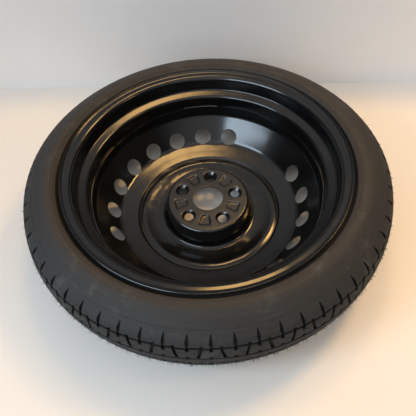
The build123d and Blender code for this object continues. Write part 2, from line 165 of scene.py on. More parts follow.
class Inks(NodeTree):
    """A material's node tree: a Principled surface and the patterns that the finishes share."""

    def __init__(self, name: str) -> None:
        """Make the material with its surface and output."""
        self.material = bpy.data.materials.new(name)
        self.material.use_nodes = True
        super().__init__(self.material.node_tree)
        self.tree.nodes.clear()
        self.surface = self.node("ShaderNodeBsdfPrincipled")
        self.node("ShaderNodeOutputMaterial", {}, {"Surface": self.surface.outputs[0]})
        self.coords = self.value("ShaderNodeTexCoord", output="Object")
        split = self.node("ShaderNodeSeparateXYZ", {}, {"Vector": self.coords})
        self.x, self.y, self.z = (Shade(self, socket) for socket in split.outputs)
        self.radius = (self.x * self.x + self.y * self.y) ** 0.5

    def noise(
        self, scale: float, detail: float = 2.0, rough: float = 0.5, coords: Shade | None = None
    ) -> Shade:
        """Give a noise on the piece.

        Args:
            scale: Bumps to a metre.
            detail: Octaves of finer bumps.
            rough: Weight of the finer bumps.
            coords: Where the noise is read; the piece's own place if not given.

        Returns:
            The noise, around a half.
        """
        inputs = {"Vector": coords or self.coords, "Scale": scale, "Detail": detail, "Roughness": rough}
        return self.value("ShaderNodeTexNoise", {}, inputs)

    def specks(self, scale: float, size: float, soft: float) -> Shade:
        """Give round specks at random places.

        Args:
            scale: Specks to a metre.
            size: Radius of a speck as a share of the cell.
            soft: Width of its soft edge as a share of the cell.

        Returns:
            1 in a speck and 0 outside it.
        """
        inputs = {"Vector": self.coords, "Scale": scale}
        away = self.value("ShaderNodeTexVoronoi", {"feature": "F1"}, inputs, "Distance")
        return away.step(size + soft, size)

    def streaks(self, scale: float, run: float) -> Shade:
        """Give a noise drawn out round the spin axis.

        Args:
            scale: Streaks to a metre across.
            run: Change along a streak, as a share of the change across.

        Returns:
            The noise, around a half.
        """
        inputs = {"X": self.radius, "Y": self.z, "Z": (self.x + self.y) * run}
        return self.noise(scale, 3.0, 0.6, self.value("ShaderNodeCombineXYZ", {}, inputs))

    def facing_up(self) -> Shade:
        """Give the upward part of the surface's direction."""
        normal = self.value("ShaderNodeNewGeometry", output="Normal")
        return self.value("ShaderNodeSeparateXYZ", {}, {"Vector": normal}, "Z")

    def mix(self, share: Shade, first: "Colour | Shade", second: Colour) -> Shade:
        """Mix two colours by the share of the second."""
        settings = {"data_type": "RGBA", "clamp_factor": True}
        return self.value("ShaderNodeMix", settings, {0: share, 6: first, 7: second}, 2)

    def bump(self, height: Shade, distance: float) -> Shade:
        """Give the normal bent by a height, with the millimetres that a height of 1 stands for."""
        inputs = {"Strength": 1.0, "Distance": distance * MM, "Height": height}
        return self.value("ShaderNodeBump", {}, inputs)

    def feed(self, **sockets: "Shade | float") -> bpy.types.Material:
        """Set the surface's sockets; a name's underscores stand for spaces.

        Args:
            sockets: Values or links.

        Returns:
            The finished material.
        """
        for name, value in sockets.items():
            self.fill(self.surface.inputs[name.replace("_", " ")], value)
        return self.material


@dataclass(frozen=True)
class BlackCoat:
    """Gloss black dip coat over pressed steel, with sags in the trough, dust and a duller hub."""

    colour: Colour = (0.004, 0.004, 0.0042)
    dust: Colour = (0.1, 0.092, 0.08)
    rough: float = 0.145
    hub_rough: float = 0.12
    hub_edge: float = 68.0
    hub_fade: float = 3.0
    trough: tuple[float, float] = (71.0, 122.0)
    trough_fade: float = 8.0
    sag: float = 0.9
    wave: float = 0.07
    peel: float = 0.016
    grain: float = 0.03

    def material(self) -> bpy.types.Material:
        """Make the coat.

        Returns:
            The material.
        """
        inks = Inks("black_coat")
        hub = inks.radius.step((self.hub_edge + self.hub_fade) * MM, self.hub_edge * MM)
        low, high = self.trough
        trough = inks.radius.step(low * MM, (low + self.trough_fade) * MM)
        trough = trough * inks.radius.step(high * MM, (high - self.trough_fade) * MM)
        cloud = inks.noise(14, 3, 0.6)
        level = inks.facing_up().step(0.7, 1.0)
        settled = level * inks.noise(24, 5, 0.7).step(0.45, 0.8)
        specks = inks.specks(300, 0.05, 0.05) * inks.noise(30).step(0.55, 0.7)
        dusty = settled * 0.06 + specks * 0.25 + hub * level * 0.1
        runs = inks.noise(34) * (self.wave + trough * self.sag)
        skin = inks.noise(260) * self.peel + inks.noise(900, 2, 0.6) * hub * self.grain
        return inks.feed(
            Base_Color=inks.mix(dusty, self.colour, self.dust),
            Roughness=self.rough + hub * level * self.hub_rough + (cloud - 0.5) * 0.06 + settled * 0.08,
            Normal=inks.bump(runs + skin, 1.0),
        )


@dataclass(frozen=True)
class TyreRubber:
    """Matt tyre rubber, browner by the rim, with smudges, pits and mould grain; painted shade darkens the
    grooves, the pits and the seam against the rim.
    """

    colour: Colour = (0.027, 0.027, 0.0275)
    brown: Colour = (0.05, 0.041, 0.033)
    smudge: Colour = (0.11, 0.109, 0.106)
    # Near-black colour of the painted shade in the grooves, the pits and the seam at the rim.
    groove: Colour = (0.003, 0.003, 0.0032)
    brown_span: tuple[float, float] = (272.0, 243.0)
    rough: float = 0.68
    gloss: float = 0.25

    def material(self) -> bpy.types.Material:
        """Make the rubber.

        Returns:
            The material.
        """
        inks = Inks("tyre_rubber")
        by_rim = inks.radius.step(*(radius * MM for radius in self.brown_span))
        cloud = inks.noise(9, 4, 0.6)
        base = inks.mix(by_rim * (0.3 + cloud * 0.6), self.colour, self.brown)
        smudges = inks.noise(22, 6, 0.72).step(0.53, 0.76) * 0.45
        specks = inks.specks(260, 0.07, 0.06) * inks.noise(20).step(0.52, 0.66)
        pits = inks.specks(300, 0.12, 0.08) * inks.noise(34).step(0.46, 0.66)
        lines = inks.streaks(420, 0.04)
        base = inks.mix(smudges + specks * 0.45 + lines.step(0.5, 0.8) * 0.18, base, self.smudge)
        # Painted shade in the pits, which the bump also dents.
        base = inks.mix(pits * 0.75, base, self.groove)
        # Painted shade: points marked deep in a groove or at the rim seam are darkened towards the
        # near-black colour.
        painted_shade = inks.value("ShaderNodeAttribute", {"attribute_name": "painted_shade"}, output="Fac")
        base = inks.mix(painted_shade.step(0.05, 0.6) * 0.92, base, self.groove)
        grain = inks.noise(1500, 2, 0.6) * 0.05 + inks.noise(220, 3, 0.6) * 0.16
        return inks.feed(
            Base_Color=base,
            Roughness=self.rough + (cloud - 0.5) * 0.2 + smudges * 0.25,
            Normal=inks.bump(grain - pits * 0.2 + lines * 0.08, 1.0),
            Specular_IOR_Level=self.gloss,
        )


@dataclass(frozen=True)
class MouldedSkin:
    """Smooth moulded rubber or plastic of the valve's small pieces, with paler patches and a fine grain."""

    name: str
    colour: Colour
    pale: Colour
    rough: float
    patches: float = 180.0
    finer: float = 0.65
    patch_span: tuple[float, float] = (0.48, 0.75)
    pale_share: float = 0.4
    pale_rough: float = 0.15
    grain: float = 2600.0
    grain_depth: float = 0.02

    def material(self) -> bpy.types.Material:
        """Make the skin.

        Returns:
            The material.
        """
        inks = Inks(self.name)
        pale = inks.noise(self.patches, 4, self.finer).step(*self.patch_span)
        return inks.feed(
            Base_Color=inks.mix(pale * self.pale_share, self.colour, self.pale),
            Roughness=self.rough + pale * self.pale_rough,
            Normal=inks.bump(inks.noise(self.grain), self.grain_depth),
        )


@dataclass(frozen=True)
class TurnedMetal:
    """Bare turned or drawn metal with fine tool marks and a little tarnish."""

    name: str
    colour: Colour
    tarnish: Colour
    rough: float
    mark_stretch: Spot = (0.3, 0.3, 1.0)

    def material(self) -> bpy.types.Material:
        """Make the metal.

        Returns:
            The material.
        """
        inks = Inks(self.name)
        stain = inks.noise(420, 4, 0.65).step(0.46, 0.72)
        inputs = {0: inks.coords, 1: self.mark_stretch}
        coords = inks.value("ShaderNodeVectorMath", {"operation": "MULTIPLY"}, inputs)
        marks = inks.noise(5200, 1, 0.5, coords)
        return inks.feed(
            Base_Color=inks.mix(stain * 0.6, self.colour, self.tarnish),
            Metallic=1.0,
            Roughness=self.rough + stain * 0.2 + (marks - 0.5) * 0.1,
            Normal=inks.bump(marks, 0.01),
        )


@dataclass(frozen=True)
class StageCoat:
    """Plain pale surface of the table or the wall, with a faint cloud; clear from behind."""

    name: str
    colour: Colour
    shade: Colour
    rough: float
    gloss: float

    def material(self) -> bpy.types.Material:
        """Make the surface.

        Returns:
            The material.
        """
        inks = Inks(self.name)
        cloud = inks.noise(3.0, 3, 0.55).step(0.3, 0.7)
        return inks.feed(
            Base_Color=inks.mix(cloud, self.colour, self.shade),
            Roughness=self.rough,
            Specular_IOR_Level=self.gloss,
            Alpha=1.0 - inks.value("ShaderNodeNewGeometry", output="Backfacing"),
        )


def lengths_of(points: np.ndarray) -> np.ndarray:
    """Give the length along a line at each of its points."""
    return np.concatenate([[0.0], np.cumsum(np.linalg.norm(np.diff(points, axis=0), axis=1))])


def unit(way: np.ndarray) -> np.ndarray:
    """Give a direction of length 1."""
    return way / np.linalg.norm(way)


def curve(start: np.ndarray, bow: np.ndarray, end: np.ndarray, count: int) -> np.ndarray:
    """Sample a curve between two points that is drawn towards a third.

    Args:
        start: Its first point.
        bow: The point it is drawn towards.
        end: Its last point.
        count: Number of points.

    Returns:
        The points.
    """
    share = np.linspace(0, 1, count)[:, None]
    return (1 - share) ** 2 * start + 2 * share * (1 - share) * bow + share**2 * end


def soft(value: np.ndarray, low: float, high: float) -> np.ndarray:
    """Rise softly from 0 at low to 1 at high."""
    share = np.clip((value - low) / (high - low), 0, 1)
    return share * share * (3 - 2 * share)


class BentLine:
    """A section of straight runs joined by round bends, as points with lengths."""

    def __init__(self, corners: Sequence[Corner], step: float) -> None:
        """Sample the line.

        Args:
            corners: Radius from the axis, height and bend radius of each corner.
            step: Angle between the points of a bend.
        """
        spots = [np.array(corners[0][:2])]
        for before, corner, after in zip(corners, corners[1:], corners[2:]):
            spots.extend(self.bend(before, corner, after, step))
        spots.append(np.array(corners[-1][:2]))
        self.points = np.array(spots)
        self.lengths = lengths_of(self.points)

    @staticmethod
    def bend(before: Corner, corner: Corner, after: Corner, step: float) -> list[np.ndarray]:
        """Give the points of one bend.

        Args:
            before: Corner before the bend.
            corner: The bend's own corner.
            after: Corner after the bend.
            step: Angle between points.

        Returns:
            Points from one tangent point to the other.
        """
        spot, radius = np.array(corner[:2]), corner[2]
        inward = unit(spot - np.array(before[:2]))
        outward = unit(np.array(after[:2]) - spot)
        turn = math.acos(float(np.clip(inward @ outward, -1, 1)))
        if radius == 0 or turn < 1e-4:
            return [spot]
        side = unit(outward - inward * float(inward @ outward))
        centre = spot - inward * radius * math.tan(turn / 2) + side * radius
        count = max(2, math.ceil(math.degrees(turn) / step))
        angles = [turn * k / count for k in range(count + 1)]
        return [centre + radius * (inward * math.sin(angle) - side * math.cos(angle)) for angle in angles]


def stand(name: str, data: bpy.types.ID) -> bpy.types.Object:
    """Put a new object in the scene.

    Args:
        name: Its name.
        data: Its mesh, light or camera.

    Returns:
        The object.
    """
    thing = bpy.data.objects.new(name, data)
    bpy.context.scene.collection.objects.link(thing)
    return thing


class Draft:
    """Points and faces gathered in millimetres and made into one mesh object."""

    def __init__(self) -> None:
        """Start empty."""
        self.points: list[Spot] = []
        self.faces: list[tuple[int, ...]] = []
        self.painted_shade: list[float] = []

    def grid(self, sheet: np.ndarray, closed: bool = False, painted_shade: np.ndarray | None = None) -> None:
        """Add a sheet of quads.

        Args:
            sheet: Points by row and column.
            closed: Whether the last column joins the first.
            painted_shade: Share of painted shade at each point, from 0 to 1, such as how deep in a groove
                it lies.
        """
        base = len(self.points)
        rows, columns = sheet.shape[:2]
        self.points.extend(map(tuple, sheet.reshape(-1, 3)))
        self.painted_shade.extend(np.zeros(rows * columns) if painted_shade is None else painted_shade.ravel())
        for i in range(rows - 1):
            for j in range(columns if closed else columns - 1):
                k = (j + 1) % columns
                low = base + i * columns
                high = low + columns
                self.faces.append((low + j, low + k, high + k, high + j))

    def fan(self, ring: Sequence[int]) -> None:
        """Close a ring of points with one face."""
        self.faces.append(tuple(ring))

    def piece(self, name: str, turn: Matrix | None = None) -> bpy.types.Object:
        """Make the object, with doubles merged and faces turned outward.

        Args:
            name: The object's name.
            turn: Place of the draft's own frame in the shared frame, in metres.

        Returns:
            The object, linked to the scene.
        """
        mesh = bpy.data.meshes.new(name)
        mesh.from_pydata((np.array(self.points) * MM).tolist(), [], self.faces)
        if turn is not None:
            mesh.transform(turn)
        # Store each point's share of painted shade for the rubber.
        if any(self.painted_shade):
            mesh.attributes.new("painted_shade", "FLOAT", "POINT").data.foreach_set("value", self.painted_shade)
        sheet = bmesh.new()
        sheet.from_mesh(mesh)
        bmesh.ops.remove_doubles(sheet, verts=sheet.verts, dist=0.002 * MM)
        bmesh.ops.recalc_face_normals(sheet, faces=sheet.faces)
        sheet.to_mesh(mesh)
        sheet.free()
        return stand(name, mesh)


def bake(piece: bpy.types.Object, sharp: float) -> None:
    """Turn a piece with live modifiers into one plain, smooth mesh.

    Args:
        piece: The object.
        sharp: Angle between faces above which an edge stays sharp.
    """
    graph = bpy.context.evaluated_depsgraph_get()
    mesh = bpy.data.meshes.new_from_object(piece.evaluated_get(graph))
    old = piece.data
    piece.modifiers.clear()
    piece.data = mesh
    bpy.data.meshes.remove(old)
    mesh.shade_smooth()
    mesh.set_sharp_from_angle(angle=math.radians(sharp))


def paint(piece: bpy.types.Object, material: bpy.types.Material) -> None:
    """Give a whole piece one material."""
    piece.data.materials.clear()
    piece.data.materials.append(material)


class Recipe(NodeTree):
    """A Geometry Nodes tree with named inputs, run once on a piece."""

    def __init__(self, name: str, inputs: dict[str, tuple[str, object]]) -> None:
        """Make the tree.

        Args:
            name: The tree's name.
            inputs: Socket type and value of each named input.
        """
        super().__init__(bpy.data.node_groups.new(name, "GeometryNodeTree"))
        face = self.tree.interface
        for way in ("INPUT", "OUTPUT"):
            face.new_socket("Geometry", in_out=way, socket_type="NodeSocketGeometry")
        self.values: dict[str, object] = {}
        for title, (kind, value) in inputs.items():
            socket = face.new_socket(title, in_out="INPUT", socket_type=kind)
            self.values[socket.identifier] = value
        self.start = self.node("NodeGroupInput")

    def given(self, title: str) -> bpy.types.NodeSocket:
        """Give the socket of a named input."""
        return self.start.outputs[title]

    def close(self, copies: Shade) -> None:
        """Realize the finished copies, set their material and end the tree."""
        real = self.value("GeometryNodeRealizeInstances", {}, {"Geometry": copies})
        inputs = {"Geometry": real, "Distance": 0.004 * MM}
        merged = self.value("GeometryNodeMergeByDistance", {}, inputs)
        inputs = {"Geometry": merged, "Material": self.given("Material")}
        self.node("NodeGroupOutput", {}, {"Geometry": self.value("GeometryNodeSetMaterial", {}, inputs)})

    def run(self, piece: bpy.types.Object, sharp: float) -> None:
        """Run the tree on a piece and leave a plain mesh.

        Args:
            piece: The object.
            sharp: Angle between faces above which an edge stays sharp.
        """
        modifier = piece.modifiers.new(self.tree.name, "NODES")
        modifier.node_group = self.tree
        for identifier, value in self.values.items():
            modifier[identifier] = value
        bake(piece, sharp)


class RingOfCopies(Recipe):
    """Copies of a piece set round the spin axis at even steps."""

    def __init__(self, name: str, count: int, material: bpy.types.Material) -> None:
        """Make the tree.

        Args:
            name: The tree's name.
            count: Copies in a full turn.
            material: Material of the copies.
        """
        super().__init__(
            name,
            {
                "Count": ("NodeSocketInt", count),
                "Step": ("NodeSocketFloat", TURN / count),
                "Material": ("NodeSocketMaterial", material),
            },
        )
        inputs = {"Count": self.given("Count"), "Offset": (0.0, 0.0, 0.0)}
        spots = self.value("GeometryNodeMeshLine", {"mode": "OFFSET"}, inputs)
        turn = self.value("GeometryNodeInputIndex") * self.given("Step")
        angles = self.value("ShaderNodeCombineXYZ", {}, {"Z": turn})
        rotation = self.value("FunctionNodeEulerToRotation", {}, {0: angles})
        inputs = {"Points": spots, "Instance": self.given("Geometry"), "Rotation": rotation}
        self.close(self.value("GeometryNodeInstanceOnPoints", {}, inputs))


class MouldHairs(Recipe):
    """Thin rubber hairs standing at the points of a piece, of uneven length."""

    SIDES = 5
    TIP = 0.12
    SHORTEST = 0.25
    SEED = 5

    def __init__(self, name: str, length: float, radius: float, material: bpy.types.Material) -> None:
        """Make the tree.

        Args:
            name: The tree's name.
            length: Longest hair.
            radius: Radius at a hair's foot.
            material: Material of the hairs.
        """
        super().__init__(
            name,
            {
                "Length": ("NodeSocketFloat", length * MM),
                "Radius": ("NodeSocketFloat", radius * MM),
                "Seed": ("NodeSocketInt", self.SEED),
                "Material": ("NodeSocketMaterial", material),
            },
        )
        settings = {"data_type": "FLOAT_VECTOR"}
        lean = self.value("GeometryNodeInputNamedAttribute", settings, {"Name": "lean"})
        rotation = self.value("FunctionNodeAlignRotationToVector", {"axis": "Z"}, {"Vector": lean})
        inputs = {
            "Vertices": self.SIDES,
            "Radius Bottom": self.given("Radius"),
            "Radius Top": self.TIP * MM,
            "Depth": self.given("Length"),
        }
        hair = self.value("GeometryNodeMeshCone", {}, inputs)
        inputs = {2: self.SHORTEST, 3: 1.0, 8: self.given("Seed")}
        share = self.value("FunctionNodeRandomValue", {"data_type": "FLOAT"}, inputs, 1)
        size = self.value("ShaderNodeCombineXYZ", {}, {"X": 1.0, "Y": 1.0, "Z": share})
        inputs = {"Points": self.given("Geometry"), "Instance": hair, "Rotation": rotation, "Scale": size}
        self.close(self.value("GeometryNodeInstanceOnPoints", {}, inputs))


class PressedSheet:
    """A sheet turned round the spin axis, with round holes in some cells of its grid."""

    BEVEL_ABOVE = 48.0
    SHARP_ABOVE = 50.0
    HOLE_RING = 0.8

    def __init__(
        self,
        line: BentLine,
        columns: int,
        start: float,
        drop: Callable[[np.ndarray, np.ndarray, np.ndarray], np.ndarray] | None = None,
    ) -> None:
        """Start the sheet.

        Args:
            line: Its section.
            columns: Columns in a full turn.
            start: Angle of the first column.
            drop: Fall of the surface at a length along the section, a radius and an angle in radians.
        """
        self.line = line
        self.columns = columns
        self.start = math.radians(start)
        self.pitch = TURN / columns
        self.drop = drop
        self.draft = Draft()

    def radius_at(self, run: np.ndarray) -> np.ndarray:
        """Give the radius at a length along the section."""
        return np.interp(run, self.line.lengths, self.line.points[:, 0])

    def run_at(self, radius: float, first: int, last: int) -> float:
        """Give the length along the section at which it reaches a radius.

        Args:
            radius: The radius.
            first: First point of the stretch that is looked at.
            last: Last point of it.

        Returns:
            The length.
        """
        stretch = slice(first, last)
        radii = self.line.points[stretch, 0]
        order = np.argsort(radii)
        return float(np.interp(radius, radii[order], self.line.lengths[stretch][order]))

    def place(self, run: np.ndarray, angle: np.ndarray) -> np.ndarray:
        """Give points of the sheet.

        Args:
            run: Lengths along the section.
            angle: Angles in radians.

        Returns:
            The points.
        """
        run, angle = np.broadcast_arrays(run, angle)
        radius = self.radius_at(run)
        height = np.interp(run, self.line.lengths, self.line.points[:, 1])
        if self.drop is not None:
            height = height - self.drop(run, radius, angle)
        return np.stack([radius * np.cos(angle), radius * np.sin(angle), height], axis=-1)

    def angles(self, first: int, count: int) -> np.ndarray:
        """Give the angles of some columns and the one after them."""
        return self.start + self.pitch * np.arange(first, first + count + 1)

    def block(self, runs: np.ndarray, first: int, count: int) -> None:
        """Add plain rows at some lengths over some columns, from the first one on."""
        self.draft.grid(self.place(runs[:, None], self.angles(first, count)[None, :]))

    def hole(
        self, runs: np.ndarray, first: int, count: int, radii: Sequence[float], shares: Sequence[float]
    ) -> None:
        """Add a cell with a round hole.

        Args:
            runs: Lengths of the cell's rows.
            first: First column.
            count: Number of columns.
            radii: The hole's radius and those of the rings round it.
            shares: Places of the outer rings, as for a cell.
        """
        self.cell(runs, first, count, lambda rays: np.outer(radii, np.ones(len(rays))), shares, False)

    def cell(
        self,
        runs: np.ndarray,
        first: int,
        count: int,
        rings: Callable[[np.ndarray], np.ndarray],
        shares: Sequence[float],
        filled: bool,
    ) -> None:
        """Add a cell of rings round its middle, round a hole or a pressed shape.

        Args:
            runs: Lengths of the cell's rows.
            first: First column.
            count: Number of columns.
            rings: Distances of the inner rings from the middle, for the rays' directions.
            shares: Places of the outer rings between the last inner one, 0, and the cell's edge, 1.
            filled: Whether the innermost ring is closed.
        """
        angles = self.angles(first, count)
        edge = [(runs[0], angle) for angle in angles[:-1]]
        edge += [(run, angles[-1]) for run in runs[:-1]]
        edge += [(runs[-1], angle) for angle in angles[:0:-1]]
        edge += [(run, angles[0]) for run in runs[:0:-1]]
        outline = np.array(edge)
        middle_run = (runs[0] + runs[-1]) / 2
        middle_angle = (angles[0] + angles[-1]) / 2
        round_it = (outline[:, 1] - middle_angle) * self.radius_at(outline[:, 0])
        away = np.stack([outline[:, 0] - middle_run, round_it], axis=-1)
        far = np.linalg.norm(away, axis=1)
        rays = away / far[:, None]
        distances = list(rings(rays))
        distances += [distances[-1] + share * (far - distances[-1]) for share in shares]
        sheet = []
        for distance in distances:
            run = middle_run + rays[:, 0] * distance
            sheet.append(self.place(run, middle_angle + rays[:, 1] * distance / self.radius_at(run)))
        base = len(self.draft.points)
        self.draft.grid(np.array(sheet), closed=True)
        if filled:
            self.draft.fan(range(base, base + len(rays)))

    def piece(self, name: str, thick: float, edge: float, up: bool) -> bpy.types.Object:
        """Thicken the sheet, break its edges and leave a plain mesh.

        Args:
            name: The object's name.
            thick: Thickness, laid on the back of the drawn face.
            edge: Width of the broken edges.
            up: Whether the drawn face's first quad looks up (else it looks away from the axis).

        Returns:
            The object.
        """
        piece = self.draft.piece(name)
        face = piece.data.polygons[0]
        along = face.normal.z if up else face.normal.dot(Vector((face.center.x, face.center.y, 0)))
        if along < 0:
            piece.data.flip_normals()
        solid = piece.modifiers.new("thickness", "SOLIDIFY")
        solid.thickness = thick * MM
        solid.offset = -1
        broken = piece.modifiers.new("edges", "BEVEL")
        broken.width = edge * MM
        broken.segments = 2
        broken.limit_method = "ANGLE"
        broken.angle_limit = math.radians(self.BEVEL_ABOVE)
        bake(piece, self.SHARP_ABOVE)
        return piece


class CoatedSteel:
    """Anything of pressed or welded steel that wears the black coat."""

    @staticmethod
    def dress(piece: bpy.types.Object, coat: bpy.types.Material) -> None:
        """Give a piece the coat."""
        paint(piece, coat)


@dataclass
class SteelRim(CoatedSteel):
    """Rolled steel rim with a drop well, bead seats, rolled lips and the valve hole."""

    middle: float = 40.0
    half: float = 52.5
    flange: float = 235.8
    lip_in: float = 3.49
    lip_out: float = 4.16
    lip_bend: float = 9.5
    seat: float = 218.3
    seat_bend: float = 6.5
    inboard_edge: tuple[float, float] = (215.98, 26.0)
    outboard_edge: tuple[float, float] = (216.33, -30.0)
    well: float = 200.8
    well_top: float = 20.5
    well_floor: float = -17.0
    well_bend: float = 4.0
    bend_step: float = 6.0
    sheet: float = 2.4
    edge: float = 0.7
    columns: int = 240
    row_gap: float = 0.3
    valve_angle: float = 45.4
    valve_hole: float = 5.75
    valve_radius: float = 206.0
    valve_reach: float = 7.5
    valve_columns: int = 4
    slope_points: int = 8

    def section(self) -> BentLine:
        """Draw the tyre side of the sheet, from the inboard lip to the outboard one.

        Returns:
            The section.
        """
        lip = self.flange - self.lip_in
        tip = self.half + self.lip_out
        corners = [
            (self.flange, tip, 0.0),
            (lip, self.half, self.lip_bend),
            (self.seat, self.half, self.seat_bend),
            (*self.inboard_edge, self.seat_bend),
            (self.well, self.well_top, self.well_bend),
            (self.well, self.well_floor, self.well_bend),
            (*self.outboard_edge, self.seat_bend),
            (self.seat, -self.half, self.seat_bend),
            (lip, -self.half, self.lip_bend),
            (self.flange, -tip, 0.0),
        ]
        corners = [(radius, self.middle + across, bend) for radius, across, bend in corners]
        return BentLine(corners, self.bend_step)

    def build(self, coat: bpy.types.Material) -> bpy.types.Object:
        """Build the rim.

        Args:
            coat: Its coat.

        Returns:
            The piece, in place of the node.
        """
        line = self.section()
        wide = self.valve_columns
        sheet = PressedSheet(line, self.columns, self.valve_angle - 180.0 * wide / self.columns)
        below = np.flatnonzero(line.points[:, 1] < self.middle + self.well_floor)[0]
        slope = sheet.run_at(self.valve_radius, below, below + self.slope_points)
        low, high = slope - self.valve_reach, slope + self.valve_reach
        rows = line.lengths
        inside = np.linspace(low, high, wide + 1)
        sheet.block(np.concatenate([rows[rows < low - self.row_gap], [low]]), 0, self.columns)
        sheet.block(np.concatenate([[high], rows[rows > high + self.row_gap]]), 0, self.columns)
        sheet.block(inside, wide, self.columns - wide)
        radii = (self.valve_hole, self.valve_hole + sheet.HOLE_RING)
        sheet.hole(inside, 0, wide, radii, (1.0,))
        piece = sheet.piece("rim_look", self.sheet, self.edge, up=False)
        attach(piece, "wheel")
        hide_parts("rim_band")
        self.dress(piece, coat)
        return piece


@dataclass
class SteelDish(CoatedSteel):
    """Pressed dish: hub face with sunk bolt rings and pockets, crown, vent ring and flange."""

    sheet: float = 3.0
    edge: float = 0.5
    bore: float = 27.05
    columns: int = 280
    start: float = 63.4
    corners: tuple[Corner, ...] = (
        (73.0, 0.0, 6.0),
        (76.5, -40.3, 10.0),
        (99.0, -40.3, 60.0),
        (118.5, -32.2, 14.0),
        (125.8, -34.6, 1.6),
        (129.6, -31.4, 2.0),
        (144.5, -28.2, 120.0),
        (160.4, -24.1, 14.0),
        (195.35, 21.15, 15.0),
        (195.35, 39.1, 0.0),
    )
    bend_step: float = 6.8
    row_gap: float = 0.4
    bolt_ring: float = 50.0
    bolt_hole: float = 7.75
    bolt_pad: float = 13.0
    bolt_drop: float = 5.2
    bolt_bend: float = 0.25
    bolt_rings: tuple[float, ...] = (10.2, 11.6, 12.1, 12.6, 13.0)
    bolts: int = 5
    pocket_in: float = 37.6
    pocket_out: float = 58.0
    pocket_narrow: float = 12.2
    pocket_wide: float = 20.4
    pocket_round: float = 4.5
    pocket_drop: float = 2.2
    pocket_edge: float = 1.3
    pocket_gaps: tuple[float, ...] = (-1.0, -0.7, -0.4, -0.1, 0.2, 0.5, 1.0)
    pocket_reach: float = 25.0
    pocket_floor: float = 0.6
    hub_cell: tuple[float, float] = (34.0, 66.0)
    hub_rows: int = 27
    bore_rows: int = 6
    hub_shares: tuple[float, ...] = (0.35, 0.7, 1.0)
    vent: float = 15.7
    vent_ring: float = 169.0
    vent_inside: float = 150.0
    vent_reach: float = 19.5
    vent_rows: int = 17
    vent_shares: tuple[float, ...] = (0.3, 0.6, 1.0)
    vent_cells: int = 20
    plain_cells: tuple[int, ...] = (8, 9, 18, 19)
    crown_rows: int = 6
    flange_rows: int = 5
    relief: float = 2.8
    relief_half: float = 11.0
    relief_fade: float = 0.6
    relief_angle: float = 45.4
    relief_row: float = 3.4

    def section(self) -> BentLine:
        """Draw the inboard face, from the bore to the flange's edge."""
        return BentLine([(self.bore, 0.0, 0.0), *self.corners], self.bend_step)

    def drop(self, run: np.ndarray, radius: np.ndarray, angle: np.ndarray) -> np.ndarray:
        """Press the bolt rings and pockets and lower the edge between the welds.

        Args:
            run: Lengths along the section.
            radius: Radii.
            angle: Angles in radians.

        Returns:
            How far the face lies below its section.
        """
        cell = TURN / self.bolts
        first = math.radians(self.start) + cell / 4
        from_bolt = (angle - first + cell / 2) % cell - cell / 2
        far = np.hypot(radius * np.cos(from_bolt) - self.bolt_ring, radius * np.sin(from_bolt))
        share = np.clip((self.bolt_pad - far) / (self.bolt_pad - self.bolt_hole), 0, 1)
        bend = self.bolt_bend
        cone = np.where(share < bend, share**2 / (2 * bend), share - bend / 2) / (1 - bend / 2)
        from_pocket = (angle - first) % cell - cell / 2
        gap = self.pocket_gap(radius * np.cos(from_pocket), radius * np.sin(from_pocket))
        fall = self.bolt_drop * cone + self.pocket_drop * soft(gap, self.pocket_edge, -self.pocket_edge)
        quarter = TURN / 4
        turn = (angle - math.radians(self.relief_angle) + quarter / 2) % quarter - quarter / 2
        outer = math.radians(self.relief_half + self.relief_fade)
        inner = math.radians(self.relief_half - self.relief_fade)
        at_edge = run > self.section().lengths[-1] - 0.5
        low = np.where(at_edge, soft(np.abs(turn), outer, inner) * self.relief, 0)
        return np.where(radius < self.hub_cell[1], fall, 0) + low

    def pocket_gap(self, along: np.ndarray, across: np.ndarray) -> np.ndarray:
        """Give the distance outside a pocket's outline, a tapered shape with round corners.

        Args:
            along: Distances from the spin axis along the pocket.
            across: Distances from the pocket's middle line.

        Returns:
            The distance, below zero inside.
        """
        share = (along - self.pocket_in) / (self.pocket_out - self.pocket_in)
        half = (self.pocket_narrow + share * (self.pocket_wide - self.pocket_narrow)) / 2
        ends = np.maximum(self.pocket_in - along, along - self.pocket_out) + self.pocket_round
        sides = np.abs(across) - half + self.pocket_round
        outside = np.hypot(np.maximum(ends, 0), np.maximum(sides, 0))
        return outside + np.minimum(np.maximum(ends, sides), 0) - self.pocket_round

    def pocket_rings(self, rays: np.ndarray) -> np.ndarray:
        """Lay rings along a pocket's pressed edge.

        Args:
            rays: Directions from the middle of its cell, along and across.

        Returns:
            The rings' distances from the middle, each halved in on until it fits.
        """
        middle = sum(self.hub_cell) / 2
        rings = []
        for gap in self.pocket_edge * np.array(self.pocket_gaps):
            low, high = np.zeros(len(rays)), np.full(len(rays), self.pocket_reach)
            for _ in range(30):
                distance = (low + high) / 2
                reach = middle + rays[:, 0] * distance
                turn = rays[:, 1] * distance / reach
                inside = self.pocket_gap(reach * np.cos(turn), reach * np.sin(turn)) < gap
                low, high = np.where(inside, distance, low), np.where(inside, high, distance)
            rings.append((low + high) / 2)
        return np.array([rings[0] * self.pocket_floor, *rings])

